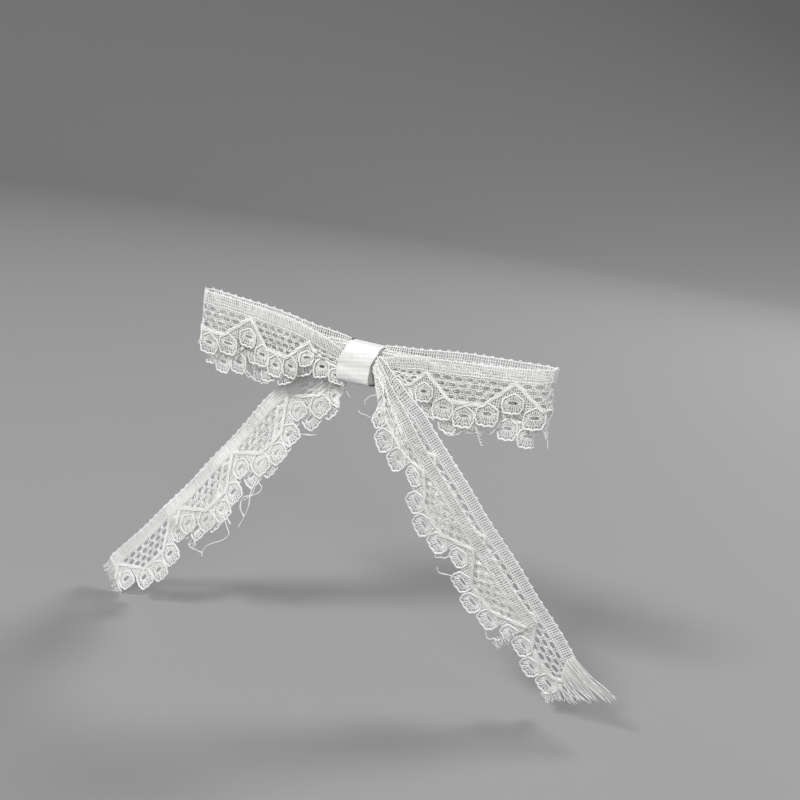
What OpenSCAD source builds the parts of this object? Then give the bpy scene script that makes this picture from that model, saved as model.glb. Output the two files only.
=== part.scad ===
// A lace bow with two loops and two hanging tails, bound with a satin ribbon
// to a small snap barrette. Millimetres. X runs along the clip, Y from the
// front of the bow to the hair, Z is up. The origin is the middle of the gap
// that grips the hair.

/* [Lace] */
// Width of the lace from its heading to its petals
lace_w = 12.7; // [12:0.1:13.5]
// Thickness of one layer of lace
lace_t = 0.35; // [0.3:0.01:0.38]
// How far the inner lace is set below the outer lace
lace_drop = 3; // [2.5:0.1:3.4]
// Reach of the outer right loop from the middle of the bow
right_loop = 39; // [36:0.5:42]
// Reach of the outer left loop from the middle of the bow
left_loop = 36.5; // [34:0.5:40]

/* [Tails] */
// Length of the longer layer of the right tail
right_tail = 76; // [70:1:80]
// Length of the longer layer of the left tail
left_tail = 75; // [70:1:78]
// How far the front layer of each tail stops short of the back one
tail_step = 18; // [14:1:22]
// Slope of the right tail below the horizontal, in degrees
right_slope = 47.2; // [44:0.1:50]
// Slope of the left tail below the horizontal, in degrees
left_slope = 51.8; // [50:0.1:55]

/* [Wrap] */
// Width of the satin ribbon that wraps the middle
ribbon_w = 7; // [6.5:0.1:7.5]
// Thickness of the satin ribbon
ribbon_t = 0.25; // [0.2:0.01:0.3]
// Turns of thread that bind the lace under the ribbon
thread_turns = 5; // [3:1:6]

/* [Clip] */
// Length of the base plate
plate_len = 42; // [41:0.5:44]
// Width of the base plate
plate_w = 7.6; // [7.4:0.1:8]
// Thickness of the steel of the plate and the arm
steel_t = 0.6; // [0.5:0.05:0.6]
// Radius of the arch of the base plate
plate_r = 75; // [70:1:85]
// Depth of the gap for the hair, from the spring to the arm
hair_gap = 4.2; // [4.1:0.1:4.4]
// Width of the clasp arm
arm_w = 5.8; // [5.6:0.1:6]
// Radius of the hinge pin
pin_r = 0.5; // [0.4:0.05:0.55]

/* [Hidden] */
$fn = 48;
pleat = 0.1;               // room between two layers of lace at the knot
fit = 0.05;                // radial clearance of the arm on its pin
arm_front = hair_gap / 2;
spring_t = 0.25;
spring_w = 4.4;
spring_back = -hair_gap / 2;
plate_back = spring_back - 1.7;
plate_front = plate_back - steel_t;
arm_r = 160;               // radius of the arm's slight arch

// The lace is stacked in eight layers where the ribbon binds it.
layer = lace_t + pleat;
stack_back = plate_front - 0.05;
stack_front = stack_back - 8 * layer;
stack_h = plate_w;
knot_x = ribbon_w / 2 - 0.05;   // where the loops and tails leave the gather
root_w = 3.4;              // width of a tail where it leaves the knot
groove = 0.25;             // depth of the waist that the thread lies in

hinge_x = -19.2;
pin_y = arm_front + hinge_x * hinge_x / (2 * arm_r) + steel_t / 2;
ear_r = 1.4;
catch_x = 19;
prong_w = 2.6;
prong_t = 0.4;
prong_z = 1.35;            // middle of a prong's thickness
barb = 0.4;
prong_root_r = 0.2;
prong_tip = arm_front + 4.6;
catch_back = -0.6;         // back face of the catch's foot
window_x = 3.9;
window_z = prong_z + prong_t / 2 + barb + 0.15;
rivet_r = 0.6;
staple_x = 13;
staple_w = 1.2;
sew_x = 9.5;               // place of the two holes for sewing
sew_r = 0.8;
white = [0.95, 0.95, 0.93];
satin_white = [0.99, 0.99, 0.98];
steel = [0.78, 0.78, 0.8];

// ---- curves -------------------------------------------------------------

// A point on the smooth curve from b to c, with a and d as its neighbours
function between(a, b, c, d, t) =
    0.5 * (2 * b + (c - a) * t + (2 * a - 5 * b + 4 * c - d) * t * t
           + (3 * b - a - 3 * c + d) * t * t * t);

// A smooth curve through points, with steps pieces between each two
function curve(p, steps) =
    let (last = len(p) - 1)
    concat([for (i = [0 : last - 1], k = [0 : steps - 1])
                between(p[max(i - 1, 0)], p[i], p[i + 1], p[min(i + 2, last)],
                        k / steps)],
           [p[last]]);

// The direction square to a curve at point i
function square_to(p, i) =
    let (d = p[min(i + 1, len(p) - 1)] - p[max(i - 1, 0)])
    [-d.y, d.x] / norm(d);

// The outline of a strip of thickness t along a curve
function strip(p, t) =
    concat([for (i = [0 : len(p) - 1]) p[i] + square_to(p, i) * t / 2],
           [for (i = [len(p) - 1 : -1 : 0]) p[i] - square_to(p, i) * t / 2]);

// Depth of the middle of layer n, counted from the front, where it is bound
function layer_y(n) = stack_front + (n + 0.5) * layer;

// ---- shared shapes ------------------------------------------------------

// A flat shape drawn with X and Z, made depth deep from y towards the hair
module facing(y, depth) {
    translate([0, y + depth, 0]) rotate([90, 0, 0]) linear_extrude(depth) children();
}

// A rectangle about the origin with round corners
module round_rect(w, h, r) {
    square([w - 2 * r, h], center = true);
    square([w, h - 2 * r], center = true);
    for (x = [-1, 1], y = [-1, 1])
        translate([x * (w / 2 - r), y * (h / 2 - r)]) circle(r);
}

// A strip of sheet steel arched about Z, its hollow side r from the axis
module arched(r, y, len, w) {
    intersection() {
        translate([0, y + r, -w / 2]) difference() {
            cylinder(r = r + steel_t, h = w, $fn = 360);
            translate([0, 0, -1]) cylinder(r = r, h = w + 2, $fn = 360);
        }
        facing(y - 2, 8) round_rect(len, w, 1.5);
    }
}

// A bar of radius r along Z, centred on z = 0
module bar_z(r, len) {
    translate([0, 0, -len / 2]) cylinder(r = r, h = len);
}

// ---- the barrette -------------------------------------------------------

// Depth of the hollow side of the base plate's arch at x
function arch_y(x) = plate_back + plate_r - sqrt(plate_r * plate_r - x * x);

module ear() {
    foot = arch_y(hinge_x) + 0.1;
    linear_extrude(steel_t) {
        translate([hinge_x, pin_y]) circle(ear_r);
        translate([hinge_x - ear_r, foot]) square([2 * ear_r, pin_y - foot]);
    }
}

// One of the two bridges that hold the ends of the spring on the plate
module staple() {
    leg = 0.4;
    half = spring_w / 2 + 0.15;
    foot = arch_y(staple_x) - steel_t / 2;
    for (side = [-1, 1])
        translate([-staple_w / 2, foot, side * (half + leg / 2) - leg / 2])
            cube([staple_w, spring_back + 0.45 - foot, leg]);
    translate([-staple_w / 2, spring_back + 0.05, -half - leg])
        cube([staple_w, 0.4, 2 * (half + leg)]);
}

module base_plate() {
    color(steel) difference() {
        union() {
            arched(plate_r, plate_back, plate_len, plate_w);
            translate([0, 0, plate_w / 2 - steel_t]) ear();
            translate([0, 0, -plate_w / 2]) ear();
            for (side = [-1, 1]) translate([side * staple_x, 0, 0]) staple();
        }
        translate([hinge_x, pin_y, 0]) bar_z(pin_r + 0.02, plate_w + 2);
        translate([catch_x, 0, 0]) rotate([90, 0, 0]) bar_z(rivet_r + 0.02, 12);
        for (side = [-1, 1])
            translate([side * sew_x, 0, 0]) rotate([90, 0, 0]) bar_z(sew_r, 12);
    }
}

module hinge_pin() {
    head = 0.25;
    color(steel) translate([hinge_x, pin_y, 0]) {
        bar_z(pin_r, plate_w + 2 * head);
        for (side = [-1, 1])
            translate([0, 0, side * (plate_w / 2 + head / 2)]) bar_z(pin_r + 0.3, head);
    }
}

module clasp_arm() {
    knuckle_r = pin_r + 0.6;
    knuckle_w = plate_w - 2 * steel_t - 0.3;
    reach = catch_x + window_x / 2 + 1;
    color(steel) difference() {
        union() {
            intersection() {
                arched(arm_r, arm_front + steel_t, 2 * reach, arm_w);
                translate([hinge_x, -10, -10]) cube([60, 30, 20]);
            }
            translate([hinge_x, pin_y, 0]) bar_z(knuckle_r, knuckle_w);
        }
        translate([hinge_x, pin_y, 0]) bar_z(pin_r + fit, plate_w);
        translate([catch_x - window_x / 2, 0, -window_z]) cube([window_x, 12, 2 * window_z]);
    }
}

module tension_spring() {
    color(steel) facing(spring_back - spring_t, spring_t)
        round_rect(2 * staple_x + staple_w, spring_w, 0.8);
}

module catch_foot() {
    foot_z = 2 * prong_z + prong_t;
    color(steel) difference() {
        intersection() {
            translate([catch_x - 1.9, plate_back, -foot_z / 2])
                cube([3.8, catch_back - plate_back, foot_z]);
            translate([0, plate_back + plate_r, -5]) cylinder(r = plate_r - 0.02, h = 10, $fn = 360);
        }
        translate([catch_x, 0, 0]) rotate([90, 0, 0]) bar_z(rivet_r + 0.02, 12);
    }
}

module catch_rivet() {
    head = 0.3;
    front = arch_y(catch_x) - steel_t - head - 0.25;
    color(steel) translate([catch_x, 0, 0]) rotate([-90, 0, 0]) {
        translate([0, 0, front]) cylinder(r = rivet_r + 0.3, h = head);
        translate([0, 0, front]) cylinder(r = rivet_r, h = catch_back + head - front);
        translate([0, 0, catch_back]) cylinder(r = rivet_r + 0.3, h = head);
    }
}

// A prong above the middle; it flexes about its root, a bar along X
module prong() {
    root_y = catch_back + 0.15 + prong_root_r;
    barb_y = arm_front + catch_x * catch_x / (2 * arm_r) + steel_t + 0.12;
    translate([catch_x, 0, prong_z]) {
        translate([-prong_w / 2, root_y, 0]) rotate([0, 90, 0])
            cylinder(r = prong_root_r, h = prong_w);
        translate([-prong_w / 2, root_y, -prong_t / 2])
            cube([prong_w, prong_tip - root_y, prong_t]);
        translate([-prong_w / 2, prong_tip, 0.1]) rotate([0, 90, 0])
            cylinder(r = 0.35, h = prong_w);
        translate([-prong_w / 2 + 0.3, 0, 0]) rotate([90, 0, 90])
            linear_extrude(prong_w - 0.6)
                polygon([[barb_y, 0], [barb_y, prong_t / 2 + barb], [barb_y + 1.3, 0]]);
    }
}

module catch_prong_upper() { color(steel) prong(); }
module catch_prong_lower() { color(steel) mirror([0, 0, 1]) prong(); }

// ---- the lace -----------------------------------------------------------

// One loop of lace seen from above: out along the front, round the end and
// back, from layer n of the stack to layer m, reaching x = reach.
module loop_plan(reach, n, m, bulge) {
    front = layer_y(n);
    back = layer_y(m);
    span = reach - knot_x;
    end_y = (front + back) / 2 - 0.55 * bulge;
    path = curve([[knot_x, front],
                  [knot_x + 0.2 * span, front - 0.55 * bulge],
                  [knot_x + 0.5 * span, front - bulge],
                  [knot_x + 0.8 * span, front - 1.05 * bulge],
                  [reach - 1.6, end_y - 1.5 * (m - n) / 3],
                  [reach - lace_t / 2, end_y],
                  [reach - 1.6, end_y + 1.5 * (m - n) / 3],
                  [knot_x + 0.7 * span, back - 0.22 * bulge],
                  [knot_x + 0.35 * span, back - 0.02 * bulge],
                  [knot_x, back]], 6);
    polygon(strip(path, lace_t));
}

// The loop's outline seen from the front, its heading top above the middle.
// It opens from the knot, past a near place to a far one where it hangs lowest.
module loop_front(reach, top, drop) {
    low = top - drop - lace_w;
    near = 10;
    far = 22;
    near_top = 5.2;
    near_sag = 1.5;
    far_sag = 1.1;
    knot_top = 3.6;
    knot_low = -3.3;
    polygon([[knot_x, knot_top - drop / 5],
             [near, near_top - drop * 0.6],
             [far, top - far_sag - drop],
             [reach, top - drop],
             [reach + 1, top - drop],
             [reach + 1, low],
             [far, low - far_sag],
             [near, low + drop - near_sag],
             [knot_x, knot_low]]);
}

module lace_loop(reach, top, drop, n, m, bulge) {
    color(white) intersection() {
        translate([0, 0, -20]) linear_extrude(40) loop_plan(reach, n, m, bulge);
        facing(-20, 30) loop_front(reach, top, drop);
    }
}

module outer_loop_right() { lace_loop(right_loop, 7.9, 0, 2, 5, 2); }
module inner_loop_right() { lace_loop(right_loop - 2, 7.6, lace_drop, 3, 4, 1.45); }
module outer_loop_left() { mirror([1, 0, 0]) lace_loop(left_loop, 8.1, 0, 2, 5, 2); }
module inner_loop_left() {
    mirror([1, 0, 0]) lace_loop(left_loop - 2, 7.8, lace_drop, 3, 4, 1.45);
}

// A tail that leaves the knot to the right and slopes down by slope. Along
// it, side gives its depth and reach; it widens from the knot until its
// heading edge lies above the sloping line, and is fully spread at a distance
// spread from the knot. Towards its end it turns by roll about its own length,
// petals to the front, and cut is how much shorter its petal edge ends.
module lace_tail(slope, start, side, heading, spread, roll, cut) {
    line = curve(side, 4);
    across = 6;
    rows = len(line);
    length = line[rows - 1][0];
    along = [cos(slope), 0, -sin(slope)];
    down = [-sin(slope), 0, -cos(slope)];
    function turned(s) =
        let (a = roll * min(1, max(0, s - 6) / 20)) down * cos(a) + [0, -sin(a), 0];
    function upright(s) = tan(slope) * max(0, 1 - s / 8);
    function gather(s) = min(1, sqrt(s / spread));
    function spot(i, j, depth) =
        let (s = line[i][0], g = gather(s), share = j / across,
             v = (1 - g) * root_w * (share - 0.5) + g * (lace_w * share - heading),
             trim = cut * share * pow(s / length, 4) - upright(s) * v)
        [start.x, line[i][1] + depth, start.y] + along * (s - trim) + turned(s) * v;
    n = across + 1;
    sheet = rows * n;
    points = [for (depth = [-lace_t / 2, lace_t / 2], i = [0 : rows - 1], j = [0 : across])
                  spot(i, j, depth)];
    rim = concat([for (j = [0 : across]) j],
                 [for (i = [1 : rows - 1]) i * n + across],
                 [for (j = [across - 1 : -1 : 0]) (rows - 1) * n + j],
                 [for (i = [rows - 2 : -1 : 1]) i * n]);
    color(white) polyhedron(points, concat(
        [for (i = [0 : rows - 2], j = [0 : across - 1], half = [0, 1])
            let (k = i * n + j)
            half == 0 ? [k, k + n + 1, k + 1] : [k, k + n, k + n + 1]],
        [for (i = [0 : rows - 2], j = [0 : across - 1], half = [0, 1])
            let (k = sheet + i * n + j)
            half == 0 ? [k, k + 1, k + n + 1] : [k, k + n + 1, k + n]],
        [for (e = [0 : len(rim) - 1], half = [0, 1])
            let (a = rim[e], b = rim[(e + 1) % len(rim)])
            half == 0 ? [a, b, b + sheet] : [a, b + sheet, a + sheet]]));
}

module right_tail_layer(n, length, lift, heading, spread, roll, cut) {
    y = layer_y(n);
    bend = 40;
    lace_tail(right_slope, [knot_x + 0.1, -0.2],
              [[0, y], [3, y - 0.5], [8, y - 1.6], [15, y - 2.4], [24, y - 2.2 - lift],
               [bend, y - 0.4 - lift], [length, y - 0.4 - lift + (length - bend) * 0.17]],
              heading, spread, roll, cut);
}

module left_tail_layer(n, length, heading, roll, cut) {
    y = layer_y(n);
    bend = 30;
    mirror([1, 0, 0])
        lace_tail(left_slope, [knot_x + 0.1, -0.7],
                  [[0, y], [8, y + 0.05], [16, y - 0.3], [bend, y - 1.3],
                   [length, y - 1.3 - (length - bend) * 0.05]],
                  heading, 14, roll, cut);
}

module right_tail_front() {
    right_tail_layer(0, right_tail - tail_step, 0.2, 1.4, 32, -13, 0);
}
module right_tail_back() { right_tail_layer(1, right_tail, 0, 4.6, 20, -13, 7); }
module left_tail_front() { left_tail_layer(6, left_tail - tail_step - 1, 6, 16, 4); }
module left_tail_back() { left_tail_layer(7, left_tail + 1, 5.5, 16, 5); }

// ---- the middle ---------------------------------------------------------

// A block along X with round edges, from y to the hair side
module block_x(front, back, h, len, r) {
    translate([-len / 2, (front + back) / 2, 0]) rotate([90, 0, 90])
        linear_extrude(len) round_rect(back - front, h, r);
}

module gathered_centre() {
    waist = thread_turns * 0.5 + 0.1;
    color(white) difference() {
        block_x(stack_front, stack_back, stack_h, 2 * knot_x - 0.1, 1.2);
        difference() {
            block_x(stack_front - 1, stack_back + 1, stack_h + 2, waist, 0.5);
            block_x(stack_front + groove, stack_back - groove, stack_h - 2 * groove,
                    waist + 1, 1);
        }
    }
}

module binding_thread() {
    thick = groove - 0.04;
    color(white) for (k = [0 : thread_turns - 1])
        translate([(k - (thread_turns - 1) / 2) * 0.5, 0, 0]) difference() {
            block_x(stack_front + 0.02, stack_back - 0.02, stack_h - 0.04, 0.4, 1.2);
            block_x(stack_front + 0.02 + thick, stack_back - 0.02 - thick,
                    stack_h - 0.04 - 2 * thick, 1, 1);
        }
}

// The ribbon's section across the middle, grown by grow on every side: round
// over the lace at the front, nearly square over the plate at the back
module wrap_section(grow) {
    front = stack_front - 0.05 - grow;
    back = plate_back + 0.1 + grow;
    half = stack_h / 2 + 0.05 + grow;
    square_from = stack_back - 1;
    translate([(front + back) / 2, 0]) round_rect(back - front, 2 * half, 1.15 + grow);
    translate([(square_from + back) / 2, 0])
        round_rect(back - square_from, 2 * half, 0.05 + grow / 2);
}

module satin_wrap() {
    back = plate_back + 0.1;
    color(satin_white) {
        translate([-ribbon_w / 2, 0, 0]) rotate([90, 0, 90]) difference() {
            linear_extrude(ribbon_w) wrap_section(ribbon_t);
            translate([0, 0, -1]) linear_extrude(ribbon_w + 2) wrap_section(0);
        }
        translate([-ribbon_w / 2, back + ribbon_t / 2, -3]) cube([ribbon_w, 1.5 * ribbon_t, 4.6]);
    }
}

base_plate();
hinge_pin();
clasp_arm();
tension_spring();
catch_foot();
catch_rivet();
catch_prong_upper();
catch_prong_lower();
outer_loop_right();
outer_loop_left();
inner_loop_right();
inner_loop_left();
right_tail_front();
right_tail_back();
left_tail_front();
left_tail_back();
gathered_centre();
binding_thread();
satin_wrap();
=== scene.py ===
import math

import bpy
import numpy as np
from mathutils import Matrix, Vector


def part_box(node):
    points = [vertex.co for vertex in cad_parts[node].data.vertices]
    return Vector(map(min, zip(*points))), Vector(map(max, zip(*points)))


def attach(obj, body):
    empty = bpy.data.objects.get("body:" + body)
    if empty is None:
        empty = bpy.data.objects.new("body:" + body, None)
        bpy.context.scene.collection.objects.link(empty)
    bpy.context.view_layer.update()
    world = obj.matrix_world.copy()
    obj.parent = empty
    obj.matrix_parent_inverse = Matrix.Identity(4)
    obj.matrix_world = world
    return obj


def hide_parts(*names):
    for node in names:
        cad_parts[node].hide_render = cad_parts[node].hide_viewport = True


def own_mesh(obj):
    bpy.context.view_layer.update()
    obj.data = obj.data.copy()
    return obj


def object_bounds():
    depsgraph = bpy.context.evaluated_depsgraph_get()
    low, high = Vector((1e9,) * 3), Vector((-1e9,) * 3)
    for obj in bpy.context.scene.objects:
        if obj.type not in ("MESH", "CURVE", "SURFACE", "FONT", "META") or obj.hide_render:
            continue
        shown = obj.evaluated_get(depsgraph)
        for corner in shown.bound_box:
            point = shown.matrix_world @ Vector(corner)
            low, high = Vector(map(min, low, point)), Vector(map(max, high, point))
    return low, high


# The looks of a lace bow on a snap barrette. Lengths in this file are millimetres,
# and MM turns them into Blender's metres when a mesh is made.
MM = 0.001

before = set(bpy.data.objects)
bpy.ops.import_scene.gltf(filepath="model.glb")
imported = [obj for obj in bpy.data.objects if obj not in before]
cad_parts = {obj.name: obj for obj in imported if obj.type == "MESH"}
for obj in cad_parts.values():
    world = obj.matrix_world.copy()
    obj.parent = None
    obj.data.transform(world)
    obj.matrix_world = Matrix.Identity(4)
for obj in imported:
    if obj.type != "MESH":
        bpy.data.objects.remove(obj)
cad_box = [list(c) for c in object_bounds()]


def corner(node, which):
    """The lowest (0) or highest (1) corner of a CAD node, in mm."""
    return np.array(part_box(node)[which]) / MM


# ---- camera ----

CAMERA_AT = (88.42, -215.82, 46.12)
CAMERA_AZIMUTH = 20.79     # degrees, as are the next two
CAMERA_ELEVATION = 12.90
CAMERA_ROLL = 9.13
LENS = 53.08
SENSOR = 36                # mm wide
CLIP = (0.01, 50)          # metres


def make_camera():
    """The camera, turned about its own axis by its roll."""
    az, el, roll = (math.radians(a) for a in (CAMERA_AZIMUTH, CAMERA_ELEVATION, CAMERA_ROLL))
    ahead = Vector((-math.sin(az) * math.cos(el), math.cos(az) * math.cos(el), -math.sin(el)))
    level = Vector((math.cos(az), math.sin(az), 0))
    upright = level.cross(ahead)
    right = level * math.cos(roll) + upright * math.sin(roll)
    up = upright * math.cos(roll) - level * math.sin(roll)
    data = bpy.data.cameras.new("camera")
    data.lens = LENS
    data.sensor_width = SENSOR
    data.clip_start, data.clip_end = CLIP
    cam = bpy.data.objects.new("camera", data)
    bpy.context.scene.collection.objects.link(cam)
    turn = Matrix((right, up, -ahead)).transposed()
    cam.matrix_world = Matrix.Translation(Vector(CAMERA_AT) * MM) @ turn.to_4x4()
    bpy.context.scene.camera = cam


make_camera()

# ---- materials ----

TINT_SPAN = (0.3, 0.7)     # where the noise is fully dark and fully light
METAL_SHADE = 0.93         # the darkest grain of a metal, of its colour


def node_material(name, color, roughness, **values):
    """A procedural material; values are other sockets of the shader by name."""
    mat = bpy.data.materials.new(name)
    mat.use_nodes = True
    shader = mat.node_tree.nodes["Principled BSDF"]
    shader.inputs["Base Color"].default_value = (*color, 1)
    shader.inputs["Roughness"].default_value = roughness
    for socket, value in values.items():
        shader.inputs[socket.replace("_", " ")].default_value = value
    mat.diffuse_color = (*color, 1)
    return mat, mat.node_tree, shader


def object_coordinates(tree):
    """The piece's own coordinates, which move with it."""
    return tree.nodes.new("ShaderNodeTexCoord").outputs["Object"]


def noise(tree, scale, detail=2.0, stretch=(1, 1, 1)):
    """A noise texture in object coordinates, stretched along the axes."""
    shape = tree.nodes.new("ShaderNodeMapping")
    shape.inputs["Scale"].default_value = stretch
    tree.links.new(object_coordinates(tree), shape.inputs["Vector"])
    tex = tree.nodes.new("ShaderNodeTexNoise")
    tex.inputs["Scale"].default_value = scale
    tex.inputs["Detail"].default_value = detail
    tree.links.new(shape.outputs["Vector"], tex.inputs["Vector"])
    return tex.outputs["Fac"]


def tint(tree, shader, factor, dark, light):
    """The base colour runs from dark to light with factor."""
    ramp = tree.nodes.new("ShaderNodeValToRGB")
    for element, position, color in zip(ramp.color_ramp.elements, TINT_SPAN, (dark, light)):
        element.position = position
        element.color = (*color, 1)
    tree.links.new(factor, ramp.inputs["Fac"])
    tree.links.new(ramp.outputs["Color"], shader.inputs["Base Color"])


def bump(tree, shader, height, distance, strength):
    """Relief of distance mm where height runs from 0 to 1."""
    node = tree.nodes.new("ShaderNodeBump")
    node.inputs["Distance"].default_value = distance * MM
    node.inputs["Strength"].default_value = strength
    tree.links.new(height, node.inputs["Height"])
    tree.links.new(node.outputs["Normal"], shader.inputs["Normal"])


def cotton(name, dark, light):
    """Spun thread: matt, with a fine uneven surface."""
    mat, tree, shader = node_material(name, light, 0.8, Sheen_Weight=0.08,
                                      Sheen_Roughness=0.5, Specular_IOR_Level=0.3)
    tint(tree, shader, noise(tree, 260), dark, light)
    bump(tree, shader, noise(tree, 5200, 3), 0.05, 0.6)
    return mat


def satin():
    """Woven satin with a soft shine and a grain along its threads."""
    mat, tree, shader = node_material("satin", (0.9, 0.9, 0.89), 0.34, Sheen_Weight=0.1,
                                      Sheen_Roughness=0.3, Specular_IOR_Level=0.6)
    tint(tree, shader, noise(tree, 700, 3, (3, 0.5, 0.5)), (0.7, 0.7, 0.69), (0.78, 0.78, 0.77))
    bump(tree, shader, noise(tree, 1500, 2, (4, 1, 1)), 0.004, 0.6)
    return mat


def metal(name, color, roughness, stretch):
    """Bare metal; stretch draws its grain out along the axes."""
    mat, tree, shader = node_material(name, color, roughness, Metallic=1.0)
    grain = noise(tree, 500, 3, stretch)
    tint(tree, shader, grain, tuple(c * METAL_SHADE for c in color), color)
    bump(tree, shader, grain, 0.01, 0.35)
    return mat


COTTON = cotton("cotton_thread", (0.72, 0.72, 0.705), (0.82, 0.82, 0.81))
FINE_COTTON = cotton("loose_thread", (0.7, 0.7, 0.68), (0.8, 0.8, 0.79))
SATIN = satin()
NICKEL = metal("nickel_plate", (0.76, 0.75, 0.72), 0.24, (1, 4, 4))
SPRING_STEEL = metal("brushed_steel", (0.58, 0.58, 0.58), 0.36, (1, 12, 12))

# ---- meshes ----


def new_mesh(name, verts, sizes, corners, mat):
    """A smooth mesh from verts in mm, the faces' sizes and their corners in one row."""
    me = bpy.data.meshes.new(name)
    me.vertices.add(len(verts))
    me.vertices.foreach_set("co", (np.asarray(verts) * MM).astype(np.float32).ravel())
    me.loops.add(len(corners))
    me.loops.foreach_set("vertex_index", np.asarray(corners, np.int32))
    me.polygons.add(len(sizes))
    starts = np.concatenate([[0], np.cumsum(sizes)[:-1]])
    me.polygons.foreach_set("loop_start", starts.astype(np.int32))
    me.polygons.foreach_set("use_smooth", np.ones(len(sizes), bool))
    me.update(calc_edges=True)
    me.validate()
    me.materials.append(mat)
    obj = bpy.data.objects.new(name, me)
    bpy.context.scene.collection.objects.link(obj)
    return obj


def unit(v):
    """The vectors v at length 1."""
    return v / np.maximum(np.linalg.norm(v, axis=-1, keepdims=True), 1e-9)


class Threads:
    """Threads on a strip of cloth: lines of (along, across, height) with a radius."""

    STEP = 0.05            # the step that finds which way the strip faces

    def __init__(self):
        self.lines, self.radii, self.closed = [], [], []

    def add(self, line, radius, closed=False):
        line = np.asarray(line, float)
        if len(line) >= 2:
            self.lines.append(line)
            self.radii.append(np.broadcast_to(radius, len(line)))
            self.closed.append(closed)

    def build(self, name, place, sides, mat):
        """The threads as round tubes, put in place by place(points) in mm."""
        flat = np.concatenate(self.lines)
        radius = np.concatenate(self.radii)[:, None]
        counts = np.array([len(line) for line in self.lines])
        first = np.concatenate([[0], np.cumsum(counts)[:-1]])
        last = first + counts - 1
        closed = np.array(self.closed)
        at = place(flat)
        step_s, step_w = [self.STEP, 0, 0], [0, self.STEP, 0]
        normal = unit(np.cross(place(flat + step_s) - place(flat - step_s),
                               place(flat + step_w) - place(flat - step_w)))
        index = np.arange(len(flat))
        after, before = index + 1, index - 1
        after[last] = np.where(closed, first, last)
        before[first] = np.where(closed, last, first)
        along = unit(at[after] - at[before])
        lift = unit(normal - (normal * along).sum(1, keepdims=True) * along)
        side = np.cross(along, lift)
        turn = np.arange(sides) * 2 * math.pi / sides
        ring = (at[:, None] + radius[:, None] * (lift[:, None] * np.cos(turn)[:, None]
                                                 + side[:, None] * np.sin(turn)[:, None]))
        here = index[after != index]
        there = after[here]
        j = np.arange(sides)
        k = (j + 1) % sides
        quads = np.stack([here[:, None] * sides + j, here[:, None] * sides + k,
                          there[:, None] * sides + k, there[:, None] * sides + j], -1)
        caps = np.concatenate([first[~closed][:, None] * sides + j[::-1],
                               last[~closed][:, None] * sides + j])
        sizes = np.concatenate([np.full(quads.shape[0] * sides, 4), np.full(len(caps), sides)])
        corners = np.concatenate([quads.ravel(), caps.ravel()])
        return new_mesh(name, ring.reshape(-1, 3), sizes, corners, mat)


# ---- smooth curves ----


def smooth_curve(points, steps):
    """The same smooth curve through points as the CAD's outlines have."""
    p = np.asarray(points, float)
    last = len(p) - 1
    t = (np.arange(steps) / steps)[:, None]
    out = []
    for i in range(last):
        a, b, c, d = p[max(i - 1, 0)], p[i], p[i + 1], p[min(i + 2, last)]
        out.append(0.5 * (2 * b + (c - a) * t + (2 * a - 5 * b + 4 * c - d) * t ** 2
                          + (3 * b - a - 3 * c + d) * t ** 3))
    return np.concatenate(out + [p[last:]])


def lengths(curve):
    """Distance along a curve to each of its points."""
    return np.concatenate([[0], np.cumsum(np.linalg.norm(np.diff(curve, axis=0), axis=1))])


def ease(x, low, high):
    """0 below low, 1 above high, smooth between."""
    t = np.clip((x - low) / (high - low), 0, 1)
    return t * t * (3 - 2 * t)


# ---- the lace pattern ----

# Places on the strip are (s, w, h): along it, below its upper edge, and out of its face.
LACE_W = 12.7
PERIOD = 18.0              # one repeat of the zigzag
FINE_STEP = 0.16           # between the points of a fine thread
RIB_PITCH = 0.48           # the net's threads across the strip, and those along it
RUN_PITCH = 0.5

# The threads of the heading: where across the strip, radius, height
HEADING_W = 2.5
HEADING_THREADS = ((0.14, 0.14, 0.03), (0.75, 0.05, -0.06), (1.35, 0.055, -0.06),
                   (1.95, 0.075, -0.04), (HEADING_W, 0.11, 0.05))
PICOT_PITCH = 1.8
PICOT_S = (-0.42, -0.25, -0.1, 0.1, 0.25, 0.42)
PICOT_R = 0.085

# The zigzag cord: its peak, how far and how wide it falls, and its strands off the middle
CORD_TOP, CORD_FALL, CORD_RUN, CORD_SAG = 2.95, 4.8, 5.6, 0.15
CORD_BLUNT = 0.1           # it is level this far to each side of a peak
CORD_BOW = 1.03            # 1 for a straight fall
CORD_STRANDS = (-0.25, -0.08, 0.08, 0.25)
CORD_R, CORD_H = 0.12, 0.24

# Petals by their distance from the peak of the zigzag: apex and foot below the upper edge
PETALS = ((0.0, 4.75, 8.7), (4.5, 7.2, 11.45), (9.0, 8.25, 12.45))
# Half the width of a petal from its apex to its foot: a straight roof, walls, a round foot
PETAL_SHAPE = ((0, 0.15), (0.25, 1.85), (0.31, 2.06), (0.66, 2.12), (0.82, 1.98), (0.93, 1.6),
               (1, 1.05))
PETAL_MIDDLE = 0.47        # a petal's middle, of the way from its apex to its foot
PETAL_BUMPS = 0.16         # how deep the foot is scalloped, of the petal's size
FRAME_R, FRAME_H = 0.2, 0.13
SLIT_HALF = (1, 0.43)      # half the length and width of a petal's slit
BARS, BAR_R = 22, 0.098    # round the slit
EVERY_PETAL = -9.0         # a first_petal that lies before any strip
BARE_W = 9.2               # how far down the net goes where a strip has no petals
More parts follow.
